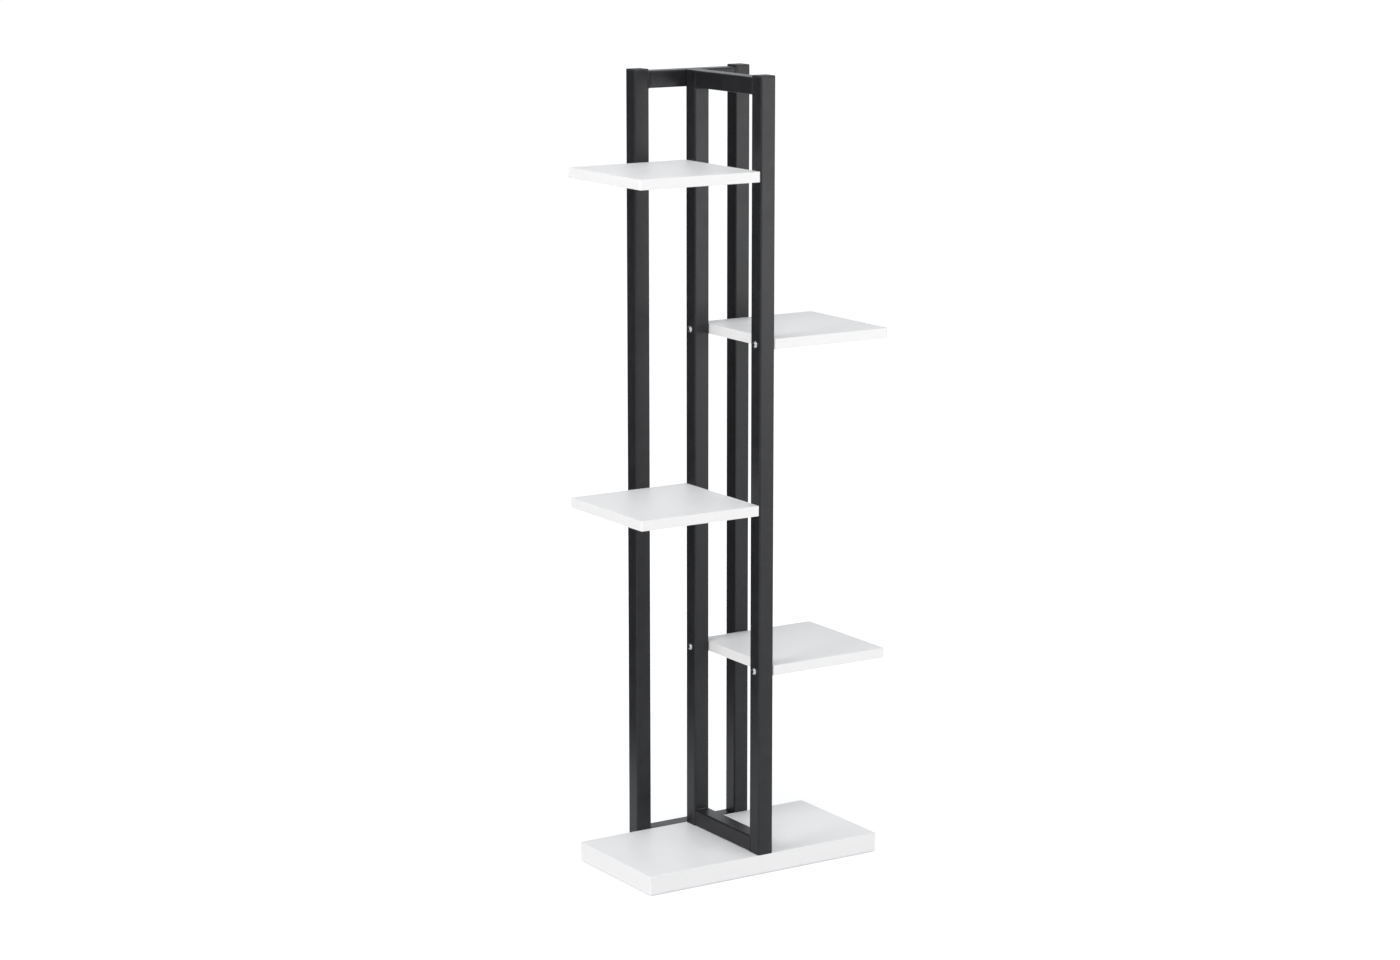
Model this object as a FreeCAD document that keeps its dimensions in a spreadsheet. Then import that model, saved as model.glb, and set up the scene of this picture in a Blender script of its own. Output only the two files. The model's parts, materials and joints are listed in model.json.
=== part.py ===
import FreeCAD, Part
import math
import os

import Sketcher

# Plant stand in millimetres. X runs along the base, Y from the front to the back and Z up.
# The origin is on the floor, at the centre of the stand's outline seen from above.

# Driving sizes: name, value, what it measures
SIZES = [
    ("tube_side", 25, "outside of the square steel tube"),
    ("tube_wall", 1.2, "wall of the tube"),
    ("tube_corner", 2.5, "outside corner radius of the tube"),
    ("frame_width", 200, "rear frame, across its two posts"),
    ("board_depth", 200, "base and shelves, front edge to back edge"),
    ("base_length", 400, "base board, end to end"),
    ("base_thick", 28, "base board"),
    ("shelf_length", 200, "shelf, from the cross frame to its free end"),
    ("shelf_thick", 15, "shelf board"),
    ("first_rise", 286, "top of the base to the top of the lowest shelf"),
    ("level_step", 242, "top of one shelf to the top of the next"),
    ("top_rise", 135, "top of the highest shelf to the top of the posts"),
    ("band_thick", 1, "edge band round each board"),
    ("board_corner", 3, "corner radius of the boards seen from above"),
    ("band_round", 0.4, "rounding along the edge bands"),
    ("weld_leg", 2, "leg of the weld beads"),
    ("cap_flange", 3, "end cap outside the tube"),
    ("cap_round", 1.2, "rounding of the end cap"),
    ("plug_room", 0.7, "end of a foot cap's plug to the bolt hole above it"),
    ("cap_wall", 1.8, "wall of the end cap's hollow plug"),
    ("cap_gap", 0.8, "end cap's plug to the tube's inner wall"),
    ("rib_gap", 0.1, "end cap's ribs to the tube's inner wall"),
    ("rib_thick", 1, "rib round the end cap's plug"),
    ("plate_thick", 1.5, "plate that closes the cross frame's rear post"),
    ("bolt_shank", 6, "bolt diameter"),
    ("bolt_head", 10.5, "button head diameter"),
    ("bolt_head_height", 3.3, "button head height"),
    ("bolt_head_rim", 0.9, "straight rim under the dome of the button head"),
    ("bolt_head_top", 5.4, "flat top of the button head, across"),
    ("bolt_point", 0.8, "bevel at the bolt's tip"),
    ("socket_width", 4, "hexagon socket across its flats"),
    ("socket_depth", 2.1, "hexagon socket"),
    ("hole_gap", 0.3, "bolt to the side of a plain hole"),
    ("fit_gap", 0.05, "parts that fit closely"),
    ("insert_outside", 10, "threaded insert diameter"),
    ("insert_length", 13, "threaded insert"),
    ("pocket_spare", 1, "pocket past the insert's end"),
    ("tip_inset", 1, "bolt tip short of the insert's end"),
    ("nut_side", 10, "square nut across its flats"),
    ("nut_height", 5, "square nut"),
    ("tip_past", 2, "bolt tip past a nut"),
    ("recess_gap", 1.5, "bolt head to the side of its recess"),
    ("recess_spare", 1.7, "recess past the height of the bolt head"),
    ("base_bolt_spacing", 90, "between the bolts under the base"),
]

RIBS_PER_CAP = 3

# Shelves from the bottom up: name, side of the cross frame that it stands out to
SHELVES = [
    ("lower_right_shelf", 1),
    ("middle_left_shelf", -1),
    ("upper_right_shelf", 1),
    ("top_left_shelf", -1),
]

# A sketch counts the points of a line or an arc up from 1, and its own axes down from -1
START, END, CENTRE = range(1, 4)
H_AXIS, V_AXIS = range(-1, -3, -1)
ORIGIN = (H_AXIS, START)

PLANE_ACROSS = {"X": "YZ_Plane", "Y": "XZ_Plane", "Z": "XY_Plane"}
UP = FreeCAD.Vector(0, 0, 1)

# How much of a face's unit normal lies along a direction that the face looks in
FACING_SHARE = 0.999

doc = FreeCAD.newDocument("plant_stand")
sheet = doc.addObject("Spreadsheet::Sheet", "sizes")
for row, (alias, value, meaning) in enumerate(SIZES, start=1):
    sheet.set(f"A{row}", meaning)
    sheet.set(f"B{row}", str(value))
    sheet.setAlias(f"B{row}", alias)
doc.recompute()

# Places worked out from the driving sizes
BORE_SIDE = "(sizes.tube_side - 2 * sizes.tube_wall)"
BORE_CORNER = "(sizes.tube_corner - sizes.tube_wall)"
BOLT_HOLE = "(sizes.bolt_shank + 2 * sizes.hole_gap)"
BOLT_BORE = "(sizes.bolt_shank + 2 * sizes.fit_gap)"
INSERT_POCKET = "(sizes.insert_outside + 2 * sizes.fit_gap)"
POCKET_DEPTH = "(sizes.insert_length + sizes.pocket_spare)"
RECESS_DEPTH = "(sizes.bolt_head_height + sizes.recess_spare)"

# All five end caps are alike: their plugs are short enough to clear the bolts through the base
PLUG_DEPTH = f"(sizes.base_thick / 2 - sizes.cap_flange - {BOLT_HOLE} / 2 - sizes.plug_room)"

FRONT_Y = "(-(sizes.board_depth + sizes.tube_side + sizes.bolt_head_height) / 2)"
BOARD_Y = f"({FRONT_Y} + sizes.board_depth / 2)"
BOARD_BACK_Y = f"({FRONT_Y} + sizes.board_depth)"
FRONT_POST_Y = f"({FRONT_Y} + sizes.tube_side / 2)"
REAR_POST_Y = f"({BOARD_BACK_Y} - sizes.tube_side / 2)"
REAR_FRAME_Y = f"({BOARD_BACK_Y} + sizes.tube_side / 2)"
REAR_FRAME_BACK_Y = f"({BOARD_BACK_Y} + sizes.tube_side)"

REAR_POST_X = "((sizes.frame_width - sizes.tube_side) / 2)"
LEVELS_ABOVE_FIRST = len(SHELVES) - 1
TOP_Z = f"(sizes.base_thick + sizes.first_rise + {LEVELS_ABOVE_FIRST} * sizes.level_step + sizes.top_rise)"
TUBE_TOP_Z = f"({TOP_Z} - sizes.cap_flange)"
TOP_RAIL_Z = f"({TUBE_TOP_Z} - sizes.tube_side / 2)"
REAR_BOTTOM_RAIL_Z = "(sizes.cap_flange + sizes.tube_side / 2)"
CROSS_BOTTOM_RAIL_Z = "(sizes.base_thick + sizes.tube_side / 2)"


def number(expression):
    """The value of an expression on the sheet."""
    return float(sheet.evalExpression(expression))


def shelf_middle_z(level):
    return f"(sizes.base_thick + sizes.first_rise + {level} * sizes.level_step - sizes.shelf_thick / 2)"


# Sketching


def new_body(name):
    return doc.addObject("PartDesign::Body", name)


def new_sketch(body, role, name, offset=None):
    """A sketch on one of the body's origin planes, moved along that plane's normal."""
    sketch = body.newObject("Sketcher::SketchObject", f"{body.Name}_{name}")
    plane = next(feature for feature in body.Origin.OriginFeatures if feature.Role == role)
    sketch.AttachmentSupport = (plane, [""])
    sketch.MapMode = "FlatFace"
    if offset:
        sketch.setExpression("AttachmentOffset.Base.z", offset)
    return sketch


def size_constraint(sketch, kind, ends, expression):
    """A dimension in a sketch that follows an expression."""
    index = sketch.addConstraint(Sketcher.Constraint(kind, *ends, number(expression)))
    name = f"size_{index}"
    sketch.renameConstraint(index, name)
    sketch.setExpression(f"Constraints.{name}", expression)


def place_point(sketch, point, x, y):
    """Holds a point of the sketch at x and y; None means on that axis."""
    if x is None:
        sketch.addConstraint(Sketcher.Constraint("PointOnObject", *point, V_AXIS))
    else:
        size_constraint(sketch, "DistanceX", (*ORIGIN, *point), x)
    if y is None:
        sketch.addConstraint(Sketcher.Constraint("PointOnObject", *point, H_AXIS))
    else:
        size_constraint(sketch, "DistanceY", (*ORIGIN, *point), y)


def flat(x, y):
    return FreeCAD.Vector(x, y, 0)


def arc_of(centre, radius, start, end):
    return Part.ArcOfCircle(Part.Circle(centre, UP, radius), start, end)


def rounded_rectangle(sketch, wide, high, radius):
    """A rectangle with rounded corners, centred on the sketch's origin."""
    x = number(wide) / 2
    y = number(high) / 2
    r = number(radius)
    quarter = math.pi / 2
    corners = [(x - r, r - y), (x - r, y - r), (r - x, y - r), (r - x, r - y)]
    lines = [
        (flat(r - x, -y), flat(x - r, -y)),
        (flat(x, r - y), flat(x, y - r)),
        (flat(x - r, y), flat(r - x, y)),
        (flat(-x, y - r), flat(-x, r - y)),
    ]
    sides = []
    arcs = []
    for turn, (corner, line) in enumerate(zip(corners, lines)):
        sides.append(sketch.addGeometry(Part.LineSegment(*line)))
        arcs.append(sketch.addGeometry(arc_of(flat(*corner), r, (turn - 1) * quarter, turn * quarter)))
    for turn in range(4):
        kind = "Horizontal" if turn % 2 == 0 else "Vertical"
        sketch.addConstraint(Sketcher.Constraint(kind, sides[turn]))
        sketch.addConstraint(Sketcher.Constraint("Tangent", sides[turn], END, arcs[turn], START))
        after = sides[(turn + 1) % 4]
        sketch.addConstraint(Sketcher.Constraint("Tangent", arcs[turn], END, after, START))
        if turn:
            sketch.addConstraint(Sketcher.Constraint("Equal", arcs[0], arcs[turn]))
    sketch.addConstraint(Sketcher.Constraint("Symmetric", sides[0], START, sides[2], START, *ORIGIN))
    size_constraint(sketch, "Radius", (arcs[0],), radius)
    size_constraint(sketch, "DistanceX", (sides[3], START, sides[1], START), wide)
    size_constraint(sketch, "DistanceY", (sides[0], START, sides[2], START), high)


def polygon(sketch, points):
    """A closed outline of straight lines through points given as expressions; None means zero."""
    values = [flat(*(number(way) if way else 0 for way in point)) for point in points]
    lines = []
    for start, end in zip(values, values[1:] + values[:1]):
        lines.append(sketch.addGeometry(Part.LineSegment(start, end)))
    for line, after, point in zip(lines, lines[1:] + lines[:1], points[1:] + points[:1]):
        sketch.addConstraint(Sketcher.Constraint("Coincident", line, END, after, START))
        place_point(sketch, (after, START), *point)


def circles(sketch, places, diameter):
    """Equal circles at places given as expressions; None means on that axis."""
    for x, y in places:
        centre = flat(number(x) if x else 0, number(y) if y else 0)
        circle = sketch.addGeometry(Part.Circle(centre, UP, number(diameter) / 2))
        place_point(sketch, (circle, CENTRE), x, y)
        size_constraint(sketch, "Diameter", (circle,), diameter)


# Features


def pad(body, sketch, length, symmetric=False, reverse=False):
    feature = body.newObject("PartDesign::Pad", f"{sketch.Name}_pad")
    feature.Profile = sketch
    feature.setExpression("Length", length)
    feature.SideType = "Symmetric" if symmetric else "One side"
    feature.Reversed = reverse
    return feature


def pocket(body, sketch, depth=None, reverse=False):
    """A cut to a depth, or with no depth right through on both sides of the sketch."""
    feature = body.newObject("PartDesign::Pocket", f"{sketch.Name}_pocket")
    feature.Profile = sketch
    if depth:
        feature.setExpression("Length", depth)
        feature.Reversed = reverse
    else:
        feature.Type = "ThroughAll"
        feature.SideType = "Symmetric"
    return feature


def drill(body, name, role, places, diameter, offset=None, depth=None, reverse=False):
    """Round holes across one of the body's origin planes."""
    sketch = new_sketch(body, role, name, offset)
    circles(sketch, places, diameter)
    return pocket(body, sketch, depth, reverse)


def faces_towards(feature, *directions):
    """Names of a feature's flat faces that look in one of the directions."""
    names = []
    for index, face in enumerate(feature.Shape.Faces, start=1):
        if not isinstance(face.Surface, Part.Plane):
            continue
        normal = face.normalAt(*face.Surface.parameter(face.CenterOfMass))
        if any(normal.dot(direction) > FACING_SHARE for direction in directions):
            names.append(f"Face{index}")
    return names


def round_edges(body, feature, radius, *directions):
    """Rounds the edges of the faces that look in the directions."""
    doc.recompute()
    fillet = body.newObject("PartDesign::Fillet", f"{feature.Name}_fillet")
    fillet.Base = (feature, faces_towards(feature, *directions))
    fillet.setExpression("Radius", radius)
    return fillet


def place(thing, x=None, y=None, z=None, axis=(0, 0, 1), turn=0):
    """Turns a piece about an axis through its own origin, then moves it."""
    thing.Placement = FreeCAD.Placement(FreeCAD.Vector(), FreeCAD.Rotation(FreeCAD.Vector(*axis), turn))
    for way, expression in (("x", x), ("y", y), ("z", z)):
        if expression:
            thing.setExpression(f"Placement.Base.{way}", expression)


# Turns that point a piece's own +Z another way
TOWARDS = {
    "left": ((0, 1, 0), -90),
    "right": ((0, 1, 0), 90),
    "back": ((1, 0, 0), -90),
    "down": ((1, 0, 0), 180),
    "up": ((0, 0, 1), 0),
}


def point(thing, way, x=None, y=None, z=None):
    axis, turn = TOWARDS[way]
    place(thing, x, y, z, axis, turn)


nodes = []


def make_node(thing, label):
    thing.Label = label
    nodes.append(thing)
    return thing


def group(label, members):
    """Several separate solids of one kind as one node."""
    compound = doc.addObject("Part::Compound", f"{label}_group")
    compound.Links = members
    return make_node(compound, label)


# Boards


def board(label, length, thick, x=None, z=None):
    """A chipboard core and the ring of edge band round it; both bodies share one local frame."""
    core = new_body(f"{label}_core")
    sketch = new_sketch(core, "XY_Plane", "outline")
    core_length = f"{length} - 2 * sizes.band_thick"
    core_depth = "sizes.board_depth - 2 * sizes.band_thick"
    core_corner = "sizes.board_corner - sizes.band_thick"
    rounded_rectangle(sketch, core_length, core_depth, core_corner)
    pad(core, sketch, thick)

    band = new_body(f"{label}_ring")
    sketch = new_sketch(band, "XY_Plane", "outline")
    rounded_rectangle(sketch, length, "sizes.board_depth", "sizes.board_corner")
    solid = pad(band, sketch, thick)
    round_edges(band, solid, "sizes.band_round", UP, -UP)
    sketch = new_sketch(band, "XY_Plane", "inside")
    rounded_rectangle(sketch, core_length, core_depth, core_corner)
    pocket(band, sketch)

    place(core, x, BOARD_Y, z)
    place(band, x, BOARD_Y, z)
    make_node(core, label)
    make_node(band, f"{label}_edge_band")
    return core, band


def back_pocket(parts, places):
    """Pockets for inserts in the board's back edge."""
    for part in parts:
        back = "-sizes.board_depth / 2"
        drill(part, "back_pockets", "XZ_Plane", places, INSERT_POCKET, back, POCKET_DEPTH, reverse=True)


def end_pockets(parts, side, places):
    """Pockets for inserts in the shelf edge that meets the cross frame."""
    end = f"-({side}) * sizes.shelf_length / 2"
    for part in parts:
        drill(part, "end_pockets", "YZ_Plane", places, INSERT_POCKET, end, POCKET_DEPTH, reverse=side > 0)


def base():
    parts = board("base_board", "sizes.base_length", "sizes.base_thick")
    middle = "sizes.base_thick / 2"
    back_pocket(parts, [(REAR_POST_X, middle), (f"-{REAR_POST_X}", middle)])
    spots = [(None, "sizes.base_bolt_spacing / 2"), (None, "-sizes.base_bolt_spacing / 2")]
    core = parts[0]
    recess = "sizes.bolt_head + 2 * sizes.recess_gap"
    drill(core, "recesses", "XY_Plane", spots, recess, depth=RECESS_DEPTH, reverse=True)
    drill(core, "bolt_holes", "XY_Plane", spots, BOLT_HOLE)


def shelf(label, side, level):
    middle_x = f"({side}) * (sizes.tube_side + sizes.shelf_length) / 2"
    bottom = f"{shelf_middle_z(level)} - sizes.shelf_thick / 2"
    parts = board(label, "sizes.shelf_length", "sizes.shelf_thick", middle_x, bottom)
    middle = "sizes.shelf_thick / 2"
    post = "(sizes.board_depth - sizes.tube_side) / 2"
    end_pockets(parts, side, [(post, middle), (f"-{post}", middle)])
    back_pocket(parts, [(f"({side}) * {REAR_POST_X} - {middle_x}", middle)])


# Frames of square tube


def tube(label, axis, length, x=None, y=None, z=None):
    """A length of square tube: a post stands on its placement, a rail is centred on it."""
    body = new_body(f"{label}_tube")
    sketch = new_sketch(body, PLANE_ACROSS[axis], "section")
    rounded_rectangle(sketch, "sizes.tube_side", "sizes.tube_side", "sizes.tube_corner")
    rounded_rectangle(sketch, BORE_SIDE, BORE_SIDE, BORE_CORNER)
    pad(body, sketch, length, symmetric=axis != "Z")
    place(body, x, y, z)
    return make_node(body, label)


def weld_bead(name, axis, ways, x=None, y=None, z=None):
    """A quarter-round bead along an inner corner; ways are the signs of its two legs in the sketch."""
    body = new_body(name)
    sketch = new_sketch(body, PLANE_ACROSS[axis], "section")
    leg = number("sizes.weld_leg")
    angles = sorted((math.atan2(0, ways[0]) % math.tau, math.atan2(ways[1], 0) % math.tau))
    if angles[1] - angles[0] > math.pi:
        angles = [angles[1], math.tau]
    starts = [flat(math.cos(angle), math.sin(angle)).multiply(leg) for angle in angles]
    out = sketch.addGeometry(Part.LineSegment(flat(0, 0), starts[0]))
    bow = sketch.addGeometry(arc_of(flat(0, 0), leg, *angles))
    back = sketch.addGeometry(Part.LineSegment(starts[1], flat(0, 0)))
    flat_first = abs(math.sin(angles[0])) < abs(math.cos(angles[0]))
    sketch.addConstraint(Sketcher.Constraint("Coincident", out, START, *ORIGIN))
    sketch.addConstraint(Sketcher.Constraint("Coincident", back, END, *ORIGIN))
    sketch.addConstraint(Sketcher.Constraint("Coincident", bow, CENTRE, *ORIGIN))
    sketch.addConstraint(Sketcher.Constraint("Coincident", out, END, bow, START))
    sketch.addConstraint(Sketcher.Constraint("Coincident", bow, END, back, START))
    sketch.addConstraint(Sketcher.Constraint("Horizontal" if flat_first else "Vertical", out))
    sketch.addConstraint(Sketcher.Constraint("Vertical" if flat_first else "Horizontal", back))
    size_constraint(sketch, "Radius", (bow,), "sizes.weld_leg")
    pad(body, sketch, "sizes.tube_side - 2 * sizes.tube_corner", symmetric=True)
    place(body, x, y, z)
    return body


def rear_frame():
    height = f"{TUBE_TOP_Z} - sizes.cap_flange"
    span = "sizes.frame_width - 2 * sizes.tube_side"
    base_middle = "sizes.base_thick / 2 - sizes.cap_flange"
    for side, name in ((-1, "left"), (1, "right")):
        x = f"({side}) * {REAR_POST_X}"
        post = tube(f"rear_frame_{name}_post", "Z", height, x, REAR_FRAME_Y, "sizes.cap_flange")
        heights = [base_middle]
        for level, (shelf_name, shelf_side) in enumerate(SHELVES):
            if shelf_side == side:
                heights.append(f"{shelf_middle_z(level)} - sizes.cap_flange")
        drill(post, "bolt_holes", "XZ_Plane", [(None, z) for z in heights], BOLT_HOLE)
    top = tube("rear_frame_top_rail", "X", span, None, REAR_FRAME_Y, TOP_RAIL_Z)
    drill(top, "bolt_hole", "XZ_Plane", [(None, None)], BOLT_HOLE)
    tube("rear_frame_bottom_rail", "X", span, None, REAR_FRAME_Y, REAR_BOTTOM_RAIL_Z)
    beads = []
    for side in (-1, 1):
        x = f"({side}) * ({span}) / 2"
        for way, rail in ((-1, TOP_RAIL_Z), (1, REAR_BOTTOM_RAIL_Z)):
            z = f"{rail} + ({way}) * sizes.tube_side / 2"
            beads.append(weld_bead("rear_bead", "Y", (-side, way), x, REAR_FRAME_Y, z))
    group("rear_frame_weld_beads", beads)


def cross_frame():
    height = f"{TUBE_TOP_Z} - sizes.base_thick"
    span = "sizes.board_depth - 2 * sizes.tube_side"
    front = tube("cross_frame_front_post", "Z", height, None, FRONT_POST_Y, "sizes.base_thick")
    rear = tube("cross_frame_rear_post", "Z", height, None, REAR_POST_Y, "sizes.base_thick")
    heights = [f"{shelf_middle_z(level)} - sizes.base_thick" for level in range(len(SHELVES))]
    for post in (front, rear):
        drill(post, "shelf_bolt_holes", "YZ_Plane", [(None, z) for z in heights], BOLT_HOLE)
    half = "sizes.tube_side / 2"
    joint = [(None, f"{TOP_RAIL_Z} - sizes.base_thick")]
    drill(rear, "frame_bolt_hole", "XZ_Plane", joint, BOLT_HOLE, f"-{half}", half, reverse=True)
    tube("cross_frame_top_rail", "Y", span, None, BOARD_Y, TOP_RAIL_Z)
    bottom = tube("cross_frame_bottom_rail", "Y", span, None, BOARD_Y, CROSS_BOTTOM_RAIL_Z)
    spots = [(None, "sizes.base_bolt_spacing / 2"), (None, "-sizes.base_bolt_spacing / 2")]
    drill(bottom, "base_bolt_holes", "XY_Plane", spots, BOLT_HOLE, f"-{half}", half, reverse=True)
    beads = []
    for side in (-1, 1):
        y = f"{BOARD_Y} + ({side}) * ({span}) / 2"
        for way, rail in ((-1, TOP_RAIL_Z), (1, CROSS_BOTTOM_RAIL_Z)):
            z = f"{rail} + ({way}) * sizes.tube_side / 2"
            beads.append(weld_bead("cross_bead", "X", (-side, way), None, y, z))
    group("cross_frame_weld_beads", beads)

    plate = new_body("end_plate")
    sketch = new_sketch(plate, "XY_Plane", "outline")
    side = f"{BORE_SIDE} - 2 * sizes.fit_gap"
    rounded_rectangle(sketch, side, side, BORE_CORNER)
    pad(plate, sketch, "sizes.plate_thick", reverse=True)
    place(plate, None, REAR_POST_Y, TUBE_TOP_Z)
    make_node(plate, "cross_frame_rear_post_end_plate")


def end_cap(label, way, x, y, z):
    """A plastic plug in the end of a tube, with its flange outside."""
    body = new_body(f"{label}_plug")
    sketch = new_sketch(body, "XY_Plane", "flange")
    rounded_rectangle(sketch, "sizes.tube_side", "sizes.tube_side", "sizes.tube_corner")
    flange = pad(body, sketch, "sizes.cap_flange")
    round_edges(body, flange, "sizes.cap_round", UP)
    plug_side = f"{BORE_SIDE} - 2 * sizes.cap_gap"
    sketch = new_sketch(body, "XY_Plane", "plug")
    rounded_rectangle(sketch, plug_side, plug_side, BORE_CORNER)
    pad(body, sketch, PLUG_DEPTH, reverse=True)
    rib_side = f"{BORE_SIDE} - 2 * sizes.rib_gap"
    for rib in range(1, RIBS_PER_CAP + 1):
        sketch = new_sketch(body, "XY_Plane", f"rib_{rib}", f"-{PLUG_DEPTH} * {rib} / {RIBS_PER_CAP}")
        rounded_rectangle(sketch, rib_side, rib_side, BORE_CORNER)
        pad(body, sketch, "sizes.rib_thick")
    sketch = new_sketch(body, "XY_Plane", "hollow", f"-{PLUG_DEPTH}")
    hollow_side = f"{plug_side} - 2 * sizes.cap_wall"
    rounded_rectangle(sketch, hollow_side, hollow_side, BORE_CORNER)
    pocket(body, sketch, PLUG_DEPTH, reverse=True)
    point(body, way, x, y, z)
    return make_node(body, label)


def end_caps():
    end_cap("front_post_top_cap", "up", None, FRONT_POST_Y, TUBE_TOP_Z)
    for side, name in ((-1, "left"), (1, "right")):
        x = f"({side}) * {REAR_POST_X}"
        end_cap(f"rear_{name}_post_top_cap", "up", x, REAR_FRAME_Y, TUBE_TOP_Z)
        end_cap(f"rear_{name}_post_foot_cap", "down", x, REAR_FRAME_Y, "sizes.cap_flange")


# Fasteners: each points its own +Z out of the seat under its head or outer face


def button_bolt(name, length):
    """A button-head bolt with a hexagon socket; its shank runs down from its own origin."""
    body = new_body(name)
    sketch = new_sketch(body, "XZ_Plane", "profile")
    shank = "sizes.bolt_shank / 2"
    head = "sizes.bolt_head / 2"
    top = "sizes.bolt_head_top / 2"
    points = [
        (None, f"-({length})"),
        (f"{shank} - sizes.bolt_point", f"-({length})"),
        (shank, f"-({length}) + sizes.bolt_point"),
        (shank, None),
        (head, None),
        (head, "sizes.bolt_head_rim"),
        (top, "sizes.bolt_head_height"),
        (None, "sizes.bolt_head_height"),
    ]
    values = [flat(*(number(way) if way else 0 for way in spot)) for spot in points]
    lines = [sketch.addGeometry(Part.LineSegment(*ends)) for ends in zip(values[:5], values[1:6])]
    low, high = values[5:7]
    middle = (low.x**2 + low.y**2 - high.x**2 - high.y**2) / (2 * (low.y - high.y))
    radius = math.hypot(high.x, high.y - middle)
    start = math.atan2(low.y - middle, low.x)
    end = math.atan2(high.y - middle, high.x)
    dome = sketch.addGeometry(arc_of(flat(0, middle), radius, start, end))
    lid = sketch.addGeometry(Part.LineSegment(*values[6:]))
    axis = sketch.addGeometry(Part.LineSegment(values[7], values[0]))
    chain = lines + [dome, lid, axis]
    for piece, after, spot in zip(chain, chain[1:] + chain[:1], points[1:] + points[:1]):
        sketch.addConstraint(Sketcher.Constraint("Coincident", piece, END, after, START))
        place_point(sketch, (after, START), *spot)
    sketch.addConstraint(Sketcher.Constraint("PointOnObject", dome, CENTRE, V_AXIS))
    solid = body.newObject("PartDesign::Revolution", f"{body.Name}_turned")
    solid.Profile = sketch
    solid.ReferenceAxis = (sketch, ["V_Axis"])
    solid.Angle = 360
    sketch = new_sketch(body, "XY_Plane", "socket", "sizes.bolt_head_height")
    flats = "sizes.socket_width / 2"
    corner = "sizes.socket_width / sqrt(3)"
    half = f"{corner} / 2"
    hexagon = [
        (corner, None),
        (half, flats),
        (f"-{half}", flats),
        (f"-{corner}", None),
        (f"-{half}", f"-{flats}"),
        (half, f"-{flats}"),
    ]
    polygon(sketch, hexagon)
    pocket(body, sketch, "sizes.socket_depth")
    return body


def insert(name):
    body = new_body(name)
    sketch = new_sketch(body, "XY_Plane", "section")
    circles(sketch, [(None, None)], "sizes.insert_outside")
    circles(sketch, [(None, None)], BOLT_BORE)
    pad(body, sketch, "sizes.insert_length", reverse=True)
    return body


def square_nut(name):
    body = new_body(name)
    sketch = new_sketch(body, "XY_Plane", "section")
    half = "sizes.nut_side / 2"
    polygon(sketch, [(f"-{half}", f"-{half}"), (half, f"-{half}"), (half, half), (f"-{half}", half)])
    circles(sketch, [(None, None)], BOLT_BORE)
    pad(body, sketch, "sizes.nut_height", reverse=True)
    return body


BOARD_BOLT = "sizes.tube_side + sizes.insert_length - sizes.tip_inset"


def shelf_fasteners(label, side, level):
    """Bolts through the posts into the shelf: two in its end edge and one in its back edge."""
    z = shelf_middle_z(level)
    way = "left" if side > 0 else "right"
    bolts = []
    inserts = []
    for y in (FRONT_POST_Y, REAR_POST_Y):
        bolt = button_bolt(f"{label}_end_bolt", BOARD_BOLT)
        point(bolt, way, f"-({side}) * sizes.tube_side / 2", y, z)
        bolts.append(bolt)
        sleeve = insert(f"{label}_end_insert")
        point(sleeve, way, f"({side}) * sizes.tube_side / 2", y, z)
        inserts.append(sleeve)
    group(f"{label}_end_bolts", bolts)
    group(f"{label}_end_inserts", inserts)
    x = f"({side}) * {REAR_POST_X}"
    bolt = make_node(button_bolt(f"{label}_rear_bolt", BOARD_BOLT), f"{label}_back_bolt")
    point(bolt, "back", x, REAR_FRAME_BACK_Y, z)
    sleeve = make_node(insert(f"{label}_rear_insert"), f"{label}_back_insert")
    point(sleeve, "back", x, BOARD_BACK_Y, z)


def base_fasteners():
    z = "sizes.base_thick / 2"
    bolts = []
    inserts = []
    for side in (-1, 1):
        x = f"({side}) * {REAR_POST_X}"
        bolt = button_bolt("base_rear_bolt", BOARD_BOLT)
        point(bolt, "back", x, REAR_FRAME_BACK_Y, z)
        bolts.append(bolt)
        sleeve = insert("base_rear_insert")
        point(sleeve, "back", x, BOARD_BACK_Y, z)
        inserts.append(sleeve)
    group("base_back_bolts", bolts)
    group("base_back_inserts", inserts)

    length = f"sizes.base_thick - {RECESS_DEPTH} + sizes.tube_wall + sizes.nut_height + sizes.tip_past"
    bolts = []
    nuts = []
    for side in (-1, 1):
        y = f"{BOARD_Y} + ({side}) * sizes.base_bolt_spacing / 2"
        bolt = button_bolt("base_lower_bolt", length)
        point(bolt, "down", None, y, RECESS_DEPTH)
        bolts.append(bolt)
        nut = square_nut("base_lower_nut")
        point(nut, "down", None, y, "sizes.base_thick + sizes.tube_wall")
        nuts.append(nut)
    group("base_underside_bolts", bolts)
    group("base_underside_nuts", nuts)


def frame_fasteners():
    length = "sizes.tube_side + sizes.tube_wall + sizes.nut_height + sizes.tip_past"
    bolt = make_node(button_bolt("frame_joint_bolt", length), "frame_bolt")
    point(bolt, "back", None, REAR_FRAME_BACK_Y, TOP_RAIL_Z)
    nut = make_node(square_nut("frame_joint_nut"), "frame_bolt_nut")
    point(nut, "back", None, f"{BOARD_BACK_Y} - sizes.tube_wall", TOP_RAIL_Z)


base()
for level, (name, side) in enumerate(SHELVES):
    shelf(name, side, level)
rear_frame()
cross_frame()
end_caps()
for level, (name, side) in enumerate(SHELVES):
    shelf_fasteners(name, side, level)
base_fasteners()
frame_fasteners()
doc.recompute()


# Checks before anything is written


def check_document():
    for thing in doc.Objects:
        if "Invalid" in thing.State or "Error" in thing.State:
            raise RuntimeError(f"{thing.Label} failed: {thing.State}")
        if thing.TypeId == "PartDesign::Pocket":
            before = thing.BaseFeature.Shape.Volume
            if thing.Shape.Volume >= before:
                raise RuntimeError(f"{thing.Label} cuts nothing")


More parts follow.
